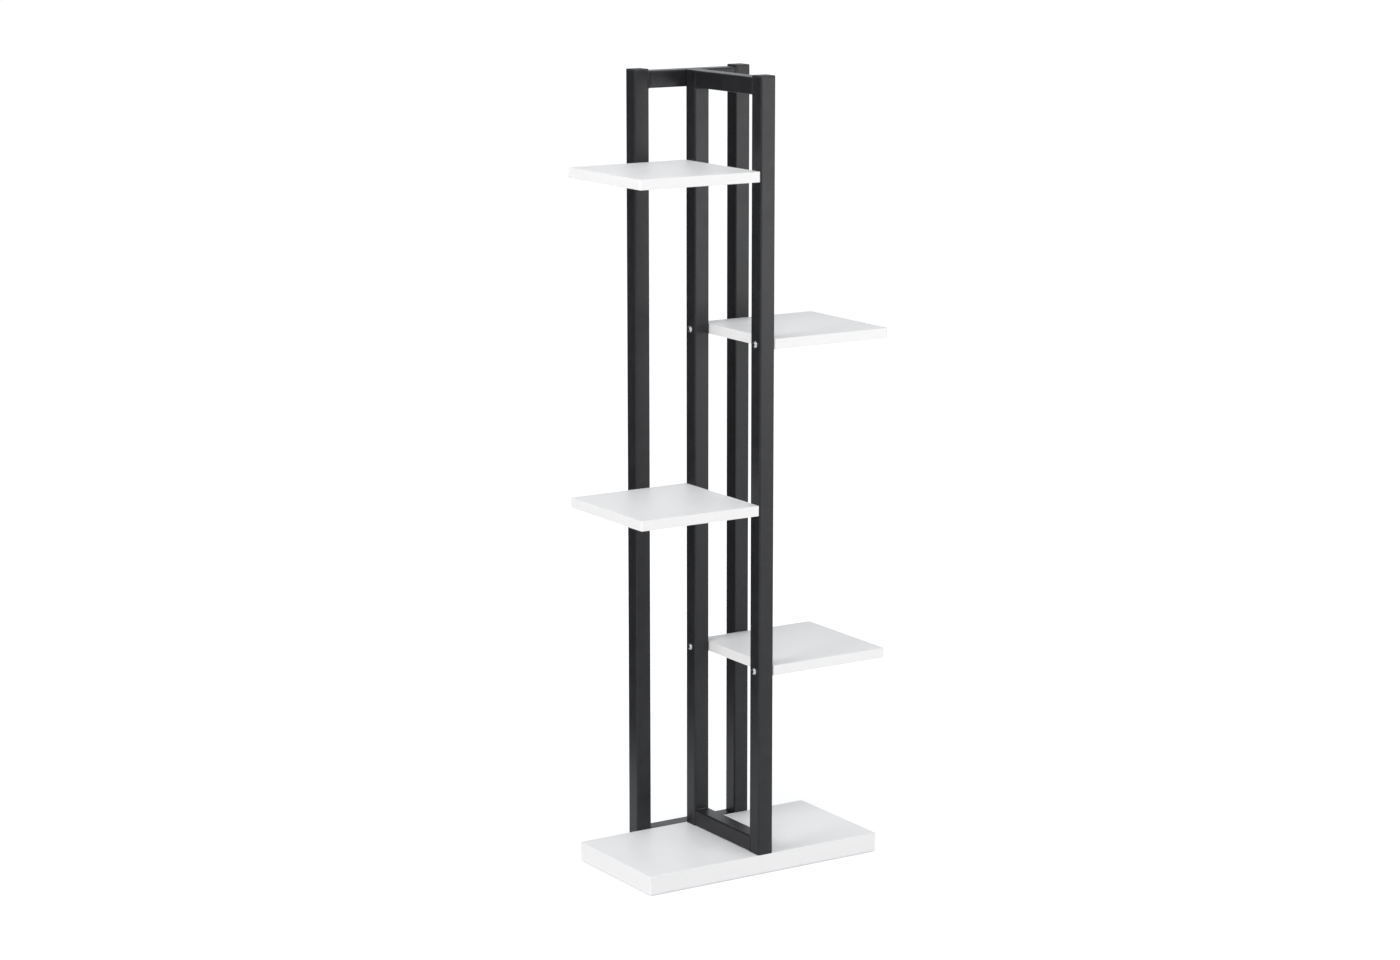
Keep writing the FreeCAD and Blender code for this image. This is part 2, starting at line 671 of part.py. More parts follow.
def check_nodes():
    for node in nodes:
        shape = node.Shape
        if shape.isNull() or not shape.isValid():
            raise RuntimeError(f"{node.Label} has no valid shape")
        wanted = len(node.Links) if node.TypeId == "Part::Compound" else 1
        if len(shape.Solids) != wanted:
            raise RuntimeError(f"{node.Label} has {len(shape.Solids)} solids, not {wanted}")


check_document()
check_nodes()
os.makedirs("parts", exist_ok=True)
for node in nodes:
    node.Shape.exportStep(f"parts/{node.Label}.step")
print(f"{len(nodes)} nodes written")
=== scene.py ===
import json
import math
import random

import bpy
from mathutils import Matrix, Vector


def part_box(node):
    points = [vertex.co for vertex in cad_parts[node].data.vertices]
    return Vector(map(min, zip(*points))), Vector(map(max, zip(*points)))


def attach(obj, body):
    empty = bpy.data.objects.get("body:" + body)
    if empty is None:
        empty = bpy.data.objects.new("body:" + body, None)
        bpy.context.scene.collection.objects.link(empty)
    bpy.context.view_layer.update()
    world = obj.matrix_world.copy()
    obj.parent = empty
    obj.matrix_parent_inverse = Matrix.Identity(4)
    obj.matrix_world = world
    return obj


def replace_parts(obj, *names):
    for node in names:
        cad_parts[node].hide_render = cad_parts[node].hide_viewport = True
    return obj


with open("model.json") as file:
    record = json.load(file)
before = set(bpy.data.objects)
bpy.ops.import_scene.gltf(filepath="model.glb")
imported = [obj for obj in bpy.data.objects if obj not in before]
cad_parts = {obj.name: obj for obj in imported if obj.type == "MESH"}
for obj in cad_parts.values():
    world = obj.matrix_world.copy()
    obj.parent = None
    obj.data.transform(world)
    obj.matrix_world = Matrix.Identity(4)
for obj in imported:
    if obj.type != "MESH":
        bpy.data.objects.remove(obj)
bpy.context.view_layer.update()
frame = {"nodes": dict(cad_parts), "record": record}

# Real sizes are in millimetres, times MM to give the scene's metres
MM = 0.001


# Spans of a pattern's values, from 0 to 1, over which a change runs from its start to its end
CLOUD_SPAN = (0.3, 0.7)
WIDE_SPAN = (0.25, 0.75)
GRAIN_SPAN = (0.2, 0.8)
FULL = (0, 1)


class Nodes:
    """A material's or world's node tree, with short calls for the nodes that this scene uses."""

    def __init__(self, owner):
        owner.use_nodes = True
        self.tree = owner.node_tree

    def add(self, kind, **settings):
        node = self.tree.nodes.new(kind)
        for key, value in settings.items():
            setattr(node, key, value)
        return node

    def feed(self, socket, value):
        """Links an output to a socket, or sets the socket to a plain value."""
        if isinstance(value, bpy.types.NodeSocket):
            self.tree.links.new(value, socket)
        else:
            socket.default_value = value

    def place(self, stretch=(1, 1, 1)):
        """The point on the object, in metres, stretched along each axis."""
        source = self.add("ShaderNodeTexCoord").outputs["Object"]
        if stretch == (1, 1, 1):
            return source
        return self.vector("MULTIPLY", source, stretch)

    def vector(self, operation, *values, output=0):
        node = self.add("ShaderNodeVectorMath", operation=operation)
        for socket, value in zip(node.inputs, values):
            self.feed(socket, value)
        return node.outputs[output]

    def length(self, vector):
        return self.vector("LENGTH", vector, output="Value")

    def split(self, vector):
        node = self.add("ShaderNodeSeparateXYZ")
        self.feed(node.inputs[0], vector)
        return node.outputs

    def number(self, operation, *values):
        node = self.add("ShaderNodeMath", operation=operation)
        for socket, value in zip(node.inputs, values):
            self.feed(socket, value)
        return node.outputs[0]

    def noise(self, place, size, detail, fine=0.5):
        """A cloudy pattern from 0 to 1 with lumps about size across, and finer ones on them."""
        node = self.add("ShaderNodeTexNoise")
        self.feed(node.inputs["Vector"], place)
        node.inputs["Scale"].default_value = 1 / size
        node.inputs["Detail"].default_value = detail
        node.inputs["Roughness"].default_value = fine
        return node.outputs["Fac"]

    def rings(self, radius, size, detail):
        """A pattern that changes along one number only."""
        node = self.add("ShaderNodeTexNoise", noise_dimensions="1D")
        self.feed(node.inputs["W"], radius)
        node.inputs["Scale"].default_value = 1 / size
        node.inputs["Detail"].default_value = detail
        return node.outputs["Fac"]

    def cells(self, place, size, output="Distance", soft=None):
        """A pattern of cells about size across, with rounded valleys where soft is given."""
        node = self.add("ShaderNodeTexVoronoi")
        self.feed(node.inputs["Vector"], place)
        node.inputs["Scale"].default_value = 1 / size
        if soft is not None:
            node.feature = "SMOOTH_F1"
            node.inputs["Smoothness"].default_value = soft
        return node.outputs[output]

    def spread(self, value, span, new_span):
        """Takes value from one span to another, and holds it within that one's ends."""
        node = self.add("ShaderNodeMapRange", interpolation_type="SMOOTHSTEP")
        self.feed(node.inputs["Value"], value)
        for end, limit in zip(("From Min", "From Max", "To Min", "To Max"), (*span, *new_span)):
            node.inputs[end].default_value = limit
        return node.outputs["Result"]

    def mix(self, share, first, second):
        node = self.add("ShaderNodeMix", data_type="RGBA")
        self.feed(node.inputs["Factor"], share)
        for socket, value in ((node.inputs[6], first), (node.inputs[7], second)):
            self.feed(socket, (*value, 1) if isinstance(value, tuple) else value)
        return node.outputs[2]

    def clouded(self, pattern, colors):
        """Goes from the first colour to the second with a cloudy pattern."""
        return self.mix(self.spread(pattern, CLOUD_SPAN, FULL), *colors)

    def bump(self, height, depth, normal=None):
        """Relief of the given depth in metres where height goes from 0 to 1."""
        node = self.add("ShaderNodeBump")
        self.feed(node.inputs["Height"], height)
        node.inputs["Strength"].default_value = 1.0
        node.inputs["Distance"].default_value = depth
        if normal is not None:
            self.feed(node.inputs["Normal"], normal)
        return node.outputs["Normal"]

    def rays(self):
        """Whether the camera sees this, and whether gloss or clear material does."""
        path = self.add("ShaderNodeLightPath").outputs
        in_gloss = self.number("MAXIMUM", path["Is Glossy Ray"], path["Is Transmission Ray"])
        return path["Is Camera Ray"], in_gloss


class Finish(Nodes):
    """A material with a Principled shader."""

    def __init__(self, name):
        self.material = bpy.data.materials.new(name)
        super().__init__(self.material)
        self.shader = self.tree.nodes["Principled BSDF"]

    def made(self, color, roughness, normal, **sockets):
        self.feed(self.shader.inputs["Base Color"], color)
        self.feed(self.shader.inputs["Roughness"], roughness)
        self.feed(self.shader.inputs["Normal"], normal)
        for key, value in sockets.items():
            self.shader.inputs[key.replace("_", " ")].default_value = value
        return self.material

    def plain(self, color, roughness):
        """One colour and one roughness all over."""
        self.shader.inputs["Base Color"].default_value = (*color, 1)
        self.shader.inputs["Roughness"].default_value = roughness


# Powder coat
COAT_COLORS = ((0.0102, 0.0103, 0.0116), (0.0146, 0.0147, 0.0162))
COAT_MOTTLE = 22 * MM
COAT_PEEL = 1.9 * MM
COAT_PEEL_DEPTH = 0.110 * MM
COAT_GRAIN = 0.36 * MM
COAT_GRAIN_DEPTH = 0.030 * MM
# Lighter specks on the coat's grain: painted tiny highlights
COAT_GLINT_PAINT = (0.026, 0.026, 0.028)
COAT_GLINT_SPAN = (0.52, 0.75)
COAT_GLINT_SHARE = 0.5
COAT_ROUGHNESS = (0.33, 0.39)
COAT_GRAIN_ROUGHNESS = 0.06
COAT_GLOSS = 0.36


def powder_coat():
    """Satin black powder coat on steel tube: orange peel, fine grain, faint mottling, and lighter
    specks that are painted tiny highlights.
    """
    n = Finish("satin_black_powder_coat")
    place = n.place()
    mottle = n.noise(place, COAT_MOTTLE, detail=3)
    peel = n.noise(place, COAT_PEEL, detail=1)
    grain = n.noise(place, COAT_GRAIN, detail=2)
    # Painted highlights: lighter specks where the grain is high
    painted_glints = n.spread(grain, COAT_GLINT_SPAN, (0, COAT_GLINT_SHARE))
    color = n.mix(painted_glints, n.clouded(mottle, COAT_COLORS), COAT_GLINT_PAINT)
    mottled = n.spread(mottle, WIDE_SPAN, COAT_ROUGHNESS)
    roughness = n.number("ADD", mottled, n.spread(grain, GRAIN_SPAN, (0, COAT_GRAIN_ROUGHNESS)))
    normal = n.bump(grain, COAT_GRAIN_DEPTH, n.bump(peel, COAT_PEEL_DEPTH))
    return n.made(color, roughness, normal, Specular_IOR_Level=COAT_GLOSS)


# Boards: melamine faces, the glue line at their edge band, and the chipboard inside
MELAMINE_COLORS = ((0.820, 0.823, 0.828), (0.838, 0.839, 0.841))
MELAMINE_CLOUD = 45 * MM
MELAMINE_PEBBLE = 0.8 * MM
MELAMINE_PEBBLE_SOFT = 0.6
MELAMINE_PEBBLE_DEPTH = 0.055 * MM
MELAMINE_PEBBLE_COLOR = (0.806, 0.809, 0.814)
MELAMINE_PEBBLE_SPAN = (0.45, 0.95)
MELAMINE_PEBBLE_SHARE = 0.5
MELAMINE_GRAIN = 0.35 * MM
MELAMINE_GRAIN_DEPTH = 0.012 * MM
MELAMINE_ROUGHNESS = (0.45, 0.51)
MELAMINE_SKIN = 0.35 * MM
GLUE_COLOR = (0.50, 0.49, 0.46)
GLUE_SHARE = 0.55
GLUE_LINE = 0.16 * MM
GLUE_LINE_MIDDLE = 0.4 * GLUE_LINE
CHIP_COLORS = ((0.36, 0.23, 0.13), (0.62, 0.45, 0.28))
CHIP = 2.6 * MM
CHIP_STRETCH = (1, 1, 2.2)
FLECK_COLOR = (0.70, 0.55, 0.38)
FLECK = 1.1 * MM
FLECK_STRETCH = (1, 1, 3)
FLECK_SPAN = (0.35, 0.65)
FLECK_SHARE = 0.6
CHIPBOARD_ROUGHER = 0.35


def melamine(low, high):
    """White melamine faces with a fine pebble, a glue line at the edge band, chipboard inside."""
    n = Finish("white_melamine_board")
    place = n.place()
    cloud = n.noise(place, MELAMINE_CLOUD, detail=3)
    pebble = n.cells(place, MELAMINE_PEBBLE, soft=MELAMINE_PEBBLE_SOFT)
    grain = n.noise(place, MELAMINE_GRAIN, detail=2)
    pebbles = n.spread(pebble, MELAMINE_PEBBLE_SPAN, (0, MELAMINE_PEBBLE_SHARE))
    white = n.mix(pebbles, n.clouded(cloud, MELAMINE_COLORS), MELAMINE_PEBBLE_COLOR)

    middle = tuple((low + high) / 2)
    half = (high - low) / 2
    x, y, z = n.split(n.vector("ABSOLUTE", n.vector("SUBTRACT", place, middle)))
    from_end = n.number("SUBTRACT", half.x, x)
    from_side = n.number("SUBTRACT", half.y, y)
    from_band = n.number("MINIMUM", from_end, from_side)
    glue = n.spread(from_band, (GLUE_LINE_MIDDLE, GLUE_LINE), (GLUE_SHARE, 0))
    white = n.mix(glue, white, GLUE_COLOR)

    chips = n.split(n.cells(n.place(CHIP_STRETCH), CHIP, output="Color"))[0]
    fleck = n.noise(n.place(FLECK_STRETCH), FLECK, detail=3)
    flecks = n.spread(fleck, FLECK_SPAN, (0, FLECK_SHARE))
    wood = n.mix(flecks, n.mix(chips, *CHIP_COLORS), FLECK_COLOR)
    core = n.number("LESS_THAN", z, half.z - MELAMINE_SKIN)
    color = n.mix(core, white, wood)
    satin = n.spread(cloud, CLOUD_SPAN, MELAMINE_ROUGHNESS)
    roughness = n.number("ADD", satin, n.number("MULTIPLY", core, CHIPBOARD_ROUGHER))
    normal = n.bump(grain, MELAMINE_GRAIN_DEPTH, n.bump(pebble, MELAMINE_PEBBLE_DEPTH))
    return n.made(color, roughness, normal)


# Edge bands
BAND_COLORS = ((0.850, 0.841, 0.831), (0.866, 0.856, 0.845))
BAND_STREAK = 30 * MM
BAND_STREAK_STRETCH = (1, 1, 40)
BAND_STREAK_DEPTH = 0.016 * MM
BAND_PEBBLE = 0.9 * MM
BAND_PEBBLE_SOFT = 0.7
BAND_PEBBLE_DEPTH = 0.024 * MM
BAND_GRAIN = 0.5 * MM
BAND_GRAIN_DEPTH = 0.010 * MM
BAND_ROUGHNESS = (0.40, 0.49)
BAND_GRAIN_ROUGHNESS = 0.05


def edge_band():
    """White plastic edge band with faint streaks along its length."""
    n = Finish("white_edge_band")
    streak = n.noise(n.place(BAND_STREAK_STRETCH), BAND_STREAK, detail=3)
    grain = n.noise(n.place(), BAND_GRAIN, detail=2)
    pebble = n.cells(n.place(), BAND_PEBBLE, soft=BAND_PEBBLE_SOFT)
    color = n.clouded(streak, BAND_COLORS)
    streaked = n.spread(streak, CLOUD_SPAN, BAND_ROUGHNESS)
    roughness = n.number("ADD", streaked, n.spread(grain, GRAIN_SPAN, (0, BAND_GRAIN_ROUGHNESS)))
    pebbled = n.bump(pebble, BAND_PEBBLE_DEPTH, n.bump(streak, BAND_STREAK_DEPTH))
    return n.made(color, roughness, n.bump(grain, BAND_GRAIN_DEPTH, pebbled))


# Plastic caps
CAP_COLORS = ((0.0125, 0.0125, 0.0132), (0.0195, 0.0195, 0.0202))
CAP_CLOUD = 9 * MM
CAP_GRAIN = 0.34 * MM
CAP_GRAIN_SOFT = 0.8
CAP_GRAIN_DEPTH = 0.035 * MM
CAP_ROUGHNESS = (0.52, 0.64)


def cap_plastic():
    """Black moulded plastic with a fine eroded texture."""
    n = Finish("black_cap_plastic")
    place = n.place()
    cloud = n.noise(place, CAP_CLOUD, detail=2)
    grain = n.cells(place, CAP_GRAIN, soft=CAP_GRAIN_SOFT)
    color = n.clouded(cloud, CAP_COLORS)
    roughness = n.spread(cloud, WIDE_SPAN, CAP_ROUGHNESS)
    return n.made(color, roughness, n.bump(grain, CAP_GRAIN_DEPTH))


# Bolts, inserts and nuts
ZINC_CRYSTAL_DEPTH = 0.004 * MM
BOLT_COLORS = ((0.50, 0.51, 0.52), (0.64, 0.64, 0.64))
BOLT_CLOUD = 2.2 * MM
BOLT_CRYSTAL = 0.16 * MM
BOLT_TURNED = 0.32 * MM
BOLT_TURNED_DEPTH = 0.012 * MM
BOLT_TURNED_COLOR = (0.42, 0.43, 0.44)
BOLT_TURNED_SPAN = (0.35, 0.7)
BOLT_TURNED_SHARE = 0.25
BOLT_ROUGHNESS = (0.20, 0.29)
# Painted shade: the hex socket's darker colour stands in for the shade in its recess
SOCKET_PAINTED_SHADE = (0.10, 0.10, 0.105)
SOCKET_REACH = 2.4 * MM
SOCKET_LIP = 0.12 * MM
SOCKET_ROUGHER = 0.28
INSERT_COLORS = ((0.54, 0.53, 0.48), (0.66, 0.65, 0.60))
INSERT_CLOUD = 3.0 * MM
INSERT_CRYSTAL = 0.18 * MM
INSERT_WORKED = 0.5 * MM
INSERT_WORKED_FINE = 0.65
INSERT_WORKED_DEPTH = 0.010 * MM
INSERT_ROUGHNESS = (0.36, 0.48)
INSERT_WORKED_ROUGHNESS = 0.06


def from_bolt_line(n, place, low, high, axis):
    """How far a point is from the middle line of a bolt, or of the nearer one of a pair."""
    middle = (low + high) / 2
    half = (high - low) / 2
    across = [i for i in range(3) if i != axis]
    head_radius = min(half[i] for i in across)
    spacing = tuple(half[i] - head_radius if i in across else 0 for i in range(3))
    flat = tuple(1.0 if i in across else 0.0 for i in range(3))
    folded = n.vector("ABSOLUTE", n.vector("SUBTRACT", place, tuple(middle)))
    return n.length(n.vector("MULTIPLY", n.vector("SUBTRACT", folded, spacing), flat))


def bolt_zinc(low, high, axis, side):
    """Bright zinc plate on a button-head bolt or a pair of them, with a rougher socket and painted
    shade in it.

    The bolts lie along axis, and their heads look to its plus side where side is 1.
    """
    n = Finish("bright_zinc_bolt")
    place = n.place()
    radius = from_bolt_line(n, place, low, high, axis)
    top = high[axis] if side > 0 else low[axis]
    below_top = n.number("SUBTRACT", top, n.split(place)[axis])
    depth = n.number("MULTIPLY", below_top, float(side))
    near_line = n.number("LESS_THAN", radius, SOCKET_REACH)
    in_shaded_socket = n.number("MULTIPLY", near_line, n.spread(depth, (0, SOCKET_LIP), FULL))
    cloud = n.noise(place, BOLT_CLOUD, detail=3)
    crystal = n.cells(place, BOLT_CRYSTAL)
    turned = n.rings(radius, BOLT_TURNED, detail=3)
    marks = n.spread(turned, BOLT_TURNED_SPAN, (0, BOLT_TURNED_SHARE))
    color = n.mix(marks, n.clouded(cloud, BOLT_COLORS), BOLT_TURNED_COLOR)
    # Painted shade: the socket's colour is darkened where shade falls in its recess
    color = n.mix(in_shaded_socket, color, SOCKET_PAINTED_SHADE)
    bright = n.spread(cloud, WIDE_SPAN, BOLT_ROUGHNESS)
    roughness = n.number("ADD", bright, n.number("MULTIPLY", in_shaded_socket, SOCKET_ROUGHER))
    normal = n.bump(crystal, ZINC_CRYSTAL_DEPTH, n.bump(turned, BOLT_TURNED_DEPTH))
    return n.made(color, roughness, normal, Metallic=1.0)


def insert_zinc():
    """Unpolished zinc plate of inserts and nuts: yellowish, clouded, with a crystal grain."""
    n = Finish("dull_zinc_inserts")
    place = n.place()
    cloud = n.noise(place, INSERT_CLOUD, detail=3)
    crystal = n.cells(place, INSERT_CRYSTAL)
    worked = n.noise(place, INSERT_WORKED, detail=4, fine=INSERT_WORKED_FINE)
    color = n.clouded(cloud, INSERT_COLORS)
    dull = n.spread(cloud, WIDE_SPAN, INSERT_ROUGHNESS)
    roughness = n.number("ADD", dull, n.spread(worked, CLOUD_SPAN, (0, INSERT_WORKED_ROUGHNESS)))
    normal = n.bump(crystal, ZINC_CRYSTAL_DEPTH, n.bump(worked, INSERT_WORKED_DEPTH))
    return n.made(color, roughness, normal, Metallic=1.0)


def bolt_way(name):
    """The axis that a bolt lies along, and the side its head is on."""
    if name.endswith("shelf_end_bolts"):
        return 0, -1 if "_right_" in name else 1
    if name == "base_underside_bolts":
        return 2, -1
    return 1, 1


def dress_nodes(coat):
    """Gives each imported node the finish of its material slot."""
    shared = {
        "black_powder_coat": coat,
        "white_edge_band": edge_band(),
        "black_plastic": cap_plastic(),
        "insert_zinc": insert_zinc(),
    }
    for part in frame["record"]["subparts"]:
        name = part["node"]
        low, high = (Vector(corner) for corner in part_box(name))
        if part["material_slot"] == "white_melamine":
            finish = melamine(low, high)
        elif part["material_slot"] == "bolt_zinc":
            finish = bolt_zinc(low, high, *bolt_way(name))
        else:
            finish = shared[part["material_slot"]]
        for material_slot in frame["nodes"][name].material_slots:
            material_slot.material = finish


def add_object(name, data):
    """Puts a mesh, a lamp or a camera in the scene."""
    holder = bpy.data.objects.new(name, data)
    bpy.context.scene.collection.objects.link(holder)
    return holder


# Weld beads: the steps of their skin, their ripples, and the two kinds' cross-sections
BEAD_STEP = 0.18 * MM
BEAD_ACROSS = 12
BEAD_TOE = 0.04 * MM
BEAD_END_SIZE = 0.02
RIPPLE_PITCH = 1.5 * MM
RIPPLE_PITCH_CHANCE = (0.88, 1.14)
RIPPLE_RISE = 0.24 * MM
RIPPLE_RISE_CHANCE = (0.75, 1.0)
RIPPLE_BOW = 1.2 * MM
RIPPLE_AT_TOE = 0.3
CORNER_BEAD_LEG = 2.0 * MM
CORNER_BEAD_BULGE = 0.42 * MM
SIDE_BEAD_ON_POST = 3.6 * MM
SIDE_BEAD_ON_RAIL = 2.6 * MM
SIDE_BEAD_WAVER = 0.08
SIDE_BEAD_CROWN = 0.50 * MM
SIDE_BEAD_PEAK = 1.6
SIDE_BEAD_ROOT = 1.9 * MM
SIDE_BEAD_PAST_FLAT = 2.3 * MM
SIDE_BEAD_END = 1.1 * MM
TUBE_CORNER = 2.5 * MM


def ripple_marks(length, chance):
    """Where each ripple of a bead starts and ends along it, and how high it stands."""
    starts = [-length / 2 - RIPPLE_PITCH]
    while starts[-1] < length / 2 + 2 * RIPPLE_PITCH:
        starts.append(starts[-1] + RIPPLE_PITCH * chance.uniform(*RIPPLE_PITCH_CHANCE))
    pairs = zip(starts, starts[1:])
    return [(start, after, chance.uniform(*RIPPLE_RISE_CHANCE)) for start, after in pairs]


def ripple_height(marks, along):
    """A ripple's round crown between two sharp valleys, from 0 to its height."""
    for start, after, height in marks:
        if along < after:
            share = max(0.0, (along - start) / (after - start))
            return height * math.sqrt(max(0.0, 1 - (2 * share - 1) ** 2))
    return 0.0


def ripple_out(marks, along, crown):
    """How far a ripple stands out there; its crescent lags behind at the toes, where crown is 0."""
    height = ripple_height(marks, along + RIPPLE_BOW * crown)
    return RIPPLE_RISE * height * (RIPPLE_AT_TOE + (1 - RIPPLE_AT_TOE) * crown)


def taper(along, length, rounded):
    """A bead's size along it: full, and rounded off towards both ends."""
    beyond = max(0.0, abs(along) - (length / 2 - rounded)) / rounded
    return math.sqrt(max(BEAD_END_SIZE**2, 1 - min(1.0, beyond) ** 2))


def corner_section(along, length, marks):
    """A fillet weld between two square faces: from toe over crown to toe, then the root."""
    size = taper(along, length, CORNER_BEAD_LEG)
    points = []
    for i in range(BEAD_ACROSS + 1):
        share = i / BEAD_ACROSS
        crown = 4 * share * (1 - share)
        out = (CORNER_BEAD_BULGE * crown + ripple_out(marks, along, crown)) / math.sqrt(2)
        first = ((1 - share) * CORNER_BEAD_LEG + out) * size
        second = (share * CORNER_BEAD_LEG + out) * size
        points.append((first, second))
    points[0] = (points[0][0], -BEAD_TOE)
    points[-1] = (-BEAD_TOE, points[-1][1])
    points.append((-BEAD_TOE, -BEAD_TOE))
    return points


def side_section(along, length, marks):
    """A flat weld that fills the groove between a rail's end and a post's rounded corner."""
    size = taper(along, length, SIDE_BEAD_END)
    past_flat = max(0.0, abs(along) - (length / 2 - SIDE_BEAD_PAST_FLAT))
    drop = TUBE_CORNER - math.sqrt(TUBE_CORNER**2 - past_flat**2)
    middle = (SIDE_BEAD_ON_RAIL - SIDE_BEAD_ON_POST) / 2
    half_width = (SIDE_BEAD_ON_RAIL + SIDE_BEAD_ON_POST) / 2
    half_width *= 1 - SIDE_BEAD_WAVER + SIDE_BEAD_WAVER * ripple_height(marks, along)
    points = []
    for i in range(BEAD_ACROSS + 1):
        share = i / BEAD_ACROSS
        crown = math.sin(math.pi * share) ** SIDE_BEAD_PEAK
        out = (SIDE_BEAD_CROWN * crown + ripple_out(marks, along, crown)) * size - BEAD_TOE
        points.append((middle + half_width * math.cos(math.pi * share), out - drop))
    points[0] = (points[0][0], -drop - 2 * BEAD_TOE)
    points[-1] = (points[-1][0], -drop - 2 * BEAD_TOE)
    points.append((-TUBE_CORNER / 2, -SIDE_BEAD_ROOT))
    return points


def bead_faces(first, count, ring, right_handed):
    """Faces of a closed skin over count + 1 rings of points, with its outside outwards."""
    faces = [tuple(first + i for i in reversed(range(ring)))]
    faces.append(tuple(first + count * ring + i for i in range(ring)))
    for k in range(count):
        here = first + k * ring
        after = here + ring
        for i in range(ring):
            other = (i + 1) % ring
            faces.append((here + i, here + other, after + other, after + i))
    return faces if right_handed else [face[::-1] for face in faces]


class Beads:
    """A mesh of closed beads, each a row of cross-sections along a line."""

    def __init__(self, name, coat):
        self.vertices = []
        self.faces = []
        self.mesh = bpy.data.meshes.new(name)
        self.mesh.materials.append(coat)
        self.chance = random.Random(name)

    def lay(self, start, first_way, second_way, along_way, length, section):
        """Lays one bead centred on start; a section's two numbers go along the first two ways."""
        marks = ripple_marks(length, self.chance)
        count = round(length / BEAD_STEP)
        before = len(self.vertices)
        for k in range(count + 1):
            along = length * (k / count - 0.5)
            points = section(along, length, marks)
            for first, second in points:
                point = start + first * first_way + second * second_way + along * along_way
                self.vertices.append(point)
        right_handed = first_way.cross(second_way).dot(along_way) > 0
        self.faces += bead_faces(before, count, len(points), right_handed)

    def done(self):
        self.mesh.from_pydata(self.vertices, [], self.faces)
        self.mesh.shade_smooth()
        piece = add_object(self.mesh.name, self.mesh)
        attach(piece, "root")
        return piece


def unit(axis, sign=1):
    """A step of one metre along an axis, or back along it where sign is -1."""
    step = Vector((0, 0, 0))
    step[axis] = sign
    return step


def corner_welds(node, side_axis, coat):
    """Rippled welds in a frame's four inner corners, in place of the plain quarter rounds."""
    low, high = (Vector(corner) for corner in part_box(node))
    along_axis = 1 - side_axis
    along_way = unit(along_axis)
    length = high[along_axis] - low[along_axis]
    beads = Beads(node.replace("beads", "ripples"), coat)
    for side in (1, -1):
        for rise in (1, -1):
            start = (low + high) / 2
            start[side_axis] = low[side_axis] if side > 0 else high[side_axis]
            start.z = low.z if rise > 0 else high.z
            side_way = unit(side_axis, side)
            beads.lay(start, side_way, unit(2, rise), along_way, length, corner_section)
    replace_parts(beads.done(), node)


def side_welds(name, rails, side_axis, skipped, coat):
    """Welds on a frame's two faces, where each end of these rails meets its post."""
    beads = Beads(name, coat)
    face_axis = 1 - side_axis
    for rail in rails:
        low, high = (Vector(corner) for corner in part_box(rail))
        length = high.z - low.z - 2 * TUBE_CORNER + 2 * SIDE_BEAD_PAST_FLAT
        for side in (1, -1):
            for face in (1, -1):
                if (rail, face) in skipped:
                    continue
                start = (low + high) / 2
                start[side_axis] = low[side_axis] if side > 0 else high[side_axis]
                start[face_axis] = high[face_axis] if face > 0 else low[face_axis]
                side_way = unit(side_axis, side)
                beads.lay(start, side_way, unit(face_axis, face), unit(2), length, side_section)
    beads.done()


# Studio: what the camera and gloss see of it, and the dome and soft boxes that light the stand
BACKGROUND_WHITE = (1.0, 1.0, 1.0)
GLOSS_WHITE = (0.970, 0.982, 1.010)
DOME_LIGHT = (0.585, 0.592, 0.606)
BOX_TINT = (1.0, 0.995, 0.985)
LIT_MIDDLE = Vector((0, 0, 0.6))
SOFT_BOXES = [
    # name, place, side, light on a facing surface at the middle, whether gloss sees it
    ("key", (-1.0, -2.4, 3.6), 2.0, 0.29, True),
    ("left_box", (-2.9, -0.2, 2.3), 1.5, 0.07, True),
    ("left_fill", (-4.5, -0.3, 2.95), 2.3, 0.34, False),
    ("right_box", (1.2, -1.9, 0.80), 0.8, 0.19, True),
]
MATTE_ROUGHNESS = 0.9

# Floor, whose glow rises between two distances, so that it runs into the background
FLOOR_WHITE = (0.785, 0.800, 0.825)
FLOOR_SIZE = 60.0
FLOOR_DROP = 1.8 * MM
FLOOR_FADE = (0.35, 1.4)
FLOOR_GLOW = (0.38, 0.55)
FLOOR_GLOW_IN_GLOSS = 0.22

# Dark flag behind on the left, which only gloss sees: a painted dark reflection
FLAG_REFLECTED_DARK = (0.14, 0.14, 0.145)
FLAG_PLACE = (-0.30, 0.46)
FLAG_WIDTH = 1.0
FLAG_FOOT = 0.02
FLAG_HEIGHT = 1.9


def studio_world():
    """A white studio: what the camera and gloss see, and a softer dome that lights."""
    world = bpy.data.worlds.new("studio")
    bpy.context.scene.world = world
    n = Nodes(world)
    seen, in_gloss = n.rays()
    light = n.mix(in_gloss, DOME_LIGHT, GLOSS_WHITE)
    shader = n.tree.nodes["Background"]
    n.feed(shader.inputs["Color"], n.mix(seen, light, BACKGROUND_WHITE))
    shader.inputs["Strength"].default_value = 1.0


def studio_sheet(name, corners, finish):
    """A flat surface of the studio, which is no part of the stand."""
    mesh = bpy.data.meshes.new(name)
    mesh.from_pydata(corners, [], [range(4)])
    mesh.materials.append(finish.material)
    sheet = add_object(name, mesh)
    return sheet


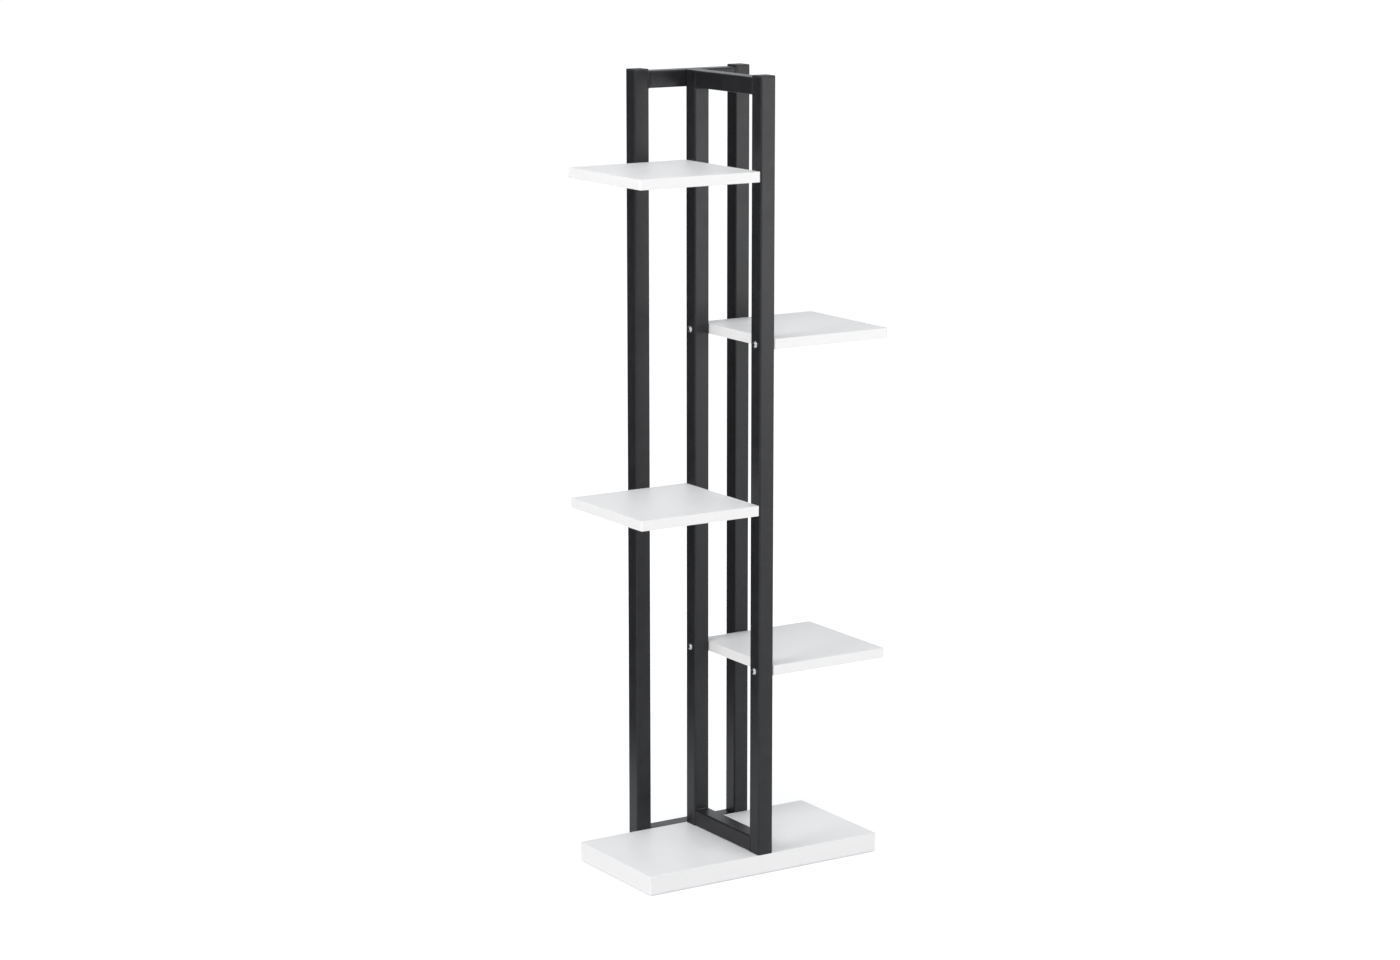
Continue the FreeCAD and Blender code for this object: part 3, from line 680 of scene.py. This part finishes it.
def studio_floor():
    """A pale floor that reads as white, and keeps the shadow where the stand meets it."""
    n = Finish("pale_floor")
    n.plain(FLOOR_WHITE, MATTE_ROUGHNESS)
    seen, in_gloss = n.rays()
    glow = n.spread(n.length(n.place()), FLOOR_FADE, FLOOR_GLOW)
    seen_glow = n.number("MULTIPLY", seen, glow)
    gloss_glow = n.number("MULTIPLY", in_gloss, FLOOR_GLOW_IN_GLOSS)
    n.shader.inputs["Specular IOR Level"].default_value = 0.0
    n.shader.inputs["Emission Color"].default_value = (1, 1, 1, 1)
    n.feed(n.shader.inputs["Emission Strength"], n.number("ADD", seen_glow, gloss_glow))
    half = FLOOR_SIZE / 2
    around = [(-half, -half), (half, -half), (half, half), (-half, half)]
    studio_sheet("floor", [(x, y, -FLOOR_DROP) for x, y in around], n)


def dark_reflection_flag():
    """A dark sheet behind on the left that only gloss sees: a painted dark reflection in the glossy
    faces that look towards it.
    """
    n = Finish("painted_dark_reflection")
    n.plain(FLAG_REFLECTED_DARK, MATTE_ROUGHNESS)
    half, low, high = FLAG_WIDTH / 2, FLAG_FOOT, FLAG_FOOT + FLAG_HEIGHT
    corners = [(-half, 0, low), (half, 0, low), (half, 0, high), (-half, 0, high)]
    flag = studio_sheet("dark_reflection_flag", corners, n)
    flag.location = (*FLAG_PLACE, 0)
    flag.rotation_euler.z = math.atan2(FLAG_PLACE[0], -FLAG_PLACE[1]) + math.pi
    # Only gloss rays see it: it paints a dark reflection and gives no shade or shadow
    for kind in ("camera", "diffuse", "shadow", "transmission", "volume_scatter"):
        setattr(flag, f"visible_{kind}", False)


def aim(holder, ray):
    """Turns a lamp or a camera to look along ray, with its top up."""
    holder.rotation_mode = "QUATERNION"
    holder.rotation_quaternion = ray.to_track_quat("-Z", "Y")


def soft_box(name, place, side, level, in_gloss):
    """A square soft box that looks at the middle, with the light that it gives a surface there.

    One that gloss doesn't see is a polarised light: it leaves no glare on the board tops.
    """
    lamp = bpy.data.lights.new(name, "AREA")
    lamp.shape = "SQUARE"
    lamp.size = side
    lamp.color = BOX_TINT
    ray = LIT_MIDDLE - Vector(place)
    # A surface there that faces the box gets level times pi, as from a dome of that strength
    lamp.energy = level * math.pi * math.pi * ray.length_squared
    holder = add_object(name, lamp)
    holder.location = place
    holder.visible_glossy = in_gloss
    aim(holder, ray)


# Camera, solved from the photograph's edges: its place, where it looks and its lens
CAMERA_PLACE = Vector((-2.5884, -4.0097, 1.5302))
CAMERA_AZIMUTH = 0.56576
CAMERA_PITCH = 0.19781
CAMERA_LENS = 84.8
SENSOR_WIDTH = 36.0
CAMERA_REACH = 200


def photograph_camera():
    """The photograph's camera, which looks down a little from the front left."""
    camera = bpy.data.cameras.new("camera")
    camera.lens = CAMERA_LENS
    camera.sensor_width = SENSOR_WIDTH
    camera.clip_end = CAMERA_REACH
    holder = add_object("camera", camera)
    holder.location = CAMERA_PLACE
    level = math.cos(CAMERA_PITCH)
    right = math.sin(CAMERA_AZIMUTH) * level
    back = math.cos(CAMERA_AZIMUTH) * level
    aim(holder, Vector((right, back, -math.sin(CAMERA_PITCH))))
    bpy.context.scene.camera = holder


bpy.context.scene.view_settings.view_transform = "Standard"
powder = powder_coat()
dress_nodes(powder)
corner_welds("rear_frame_weld_beads", 0, powder)
corner_welds("cross_frame_weld_beads", 1, powder)
rear_rails = ("rear_frame_top_rail", "rear_frame_bottom_rail")
cross_rails = ("cross_frame_top_rail", "cross_frame_bottom_rail")
# The base board lies flat against the bottom rail's front, so the welds there are ground away
side_welds("rear_frame_side_welds", rear_rails, 0, {("rear_frame_bottom_rail", -1)}, powder)
side_welds("cross_frame_side_welds", cross_rails, 1, set(), powder)
studio_world()
studio_floor()
for box in SOFT_BOXES:
    soft_box(*box)
dark_reflection_flag()
photograph_camera()
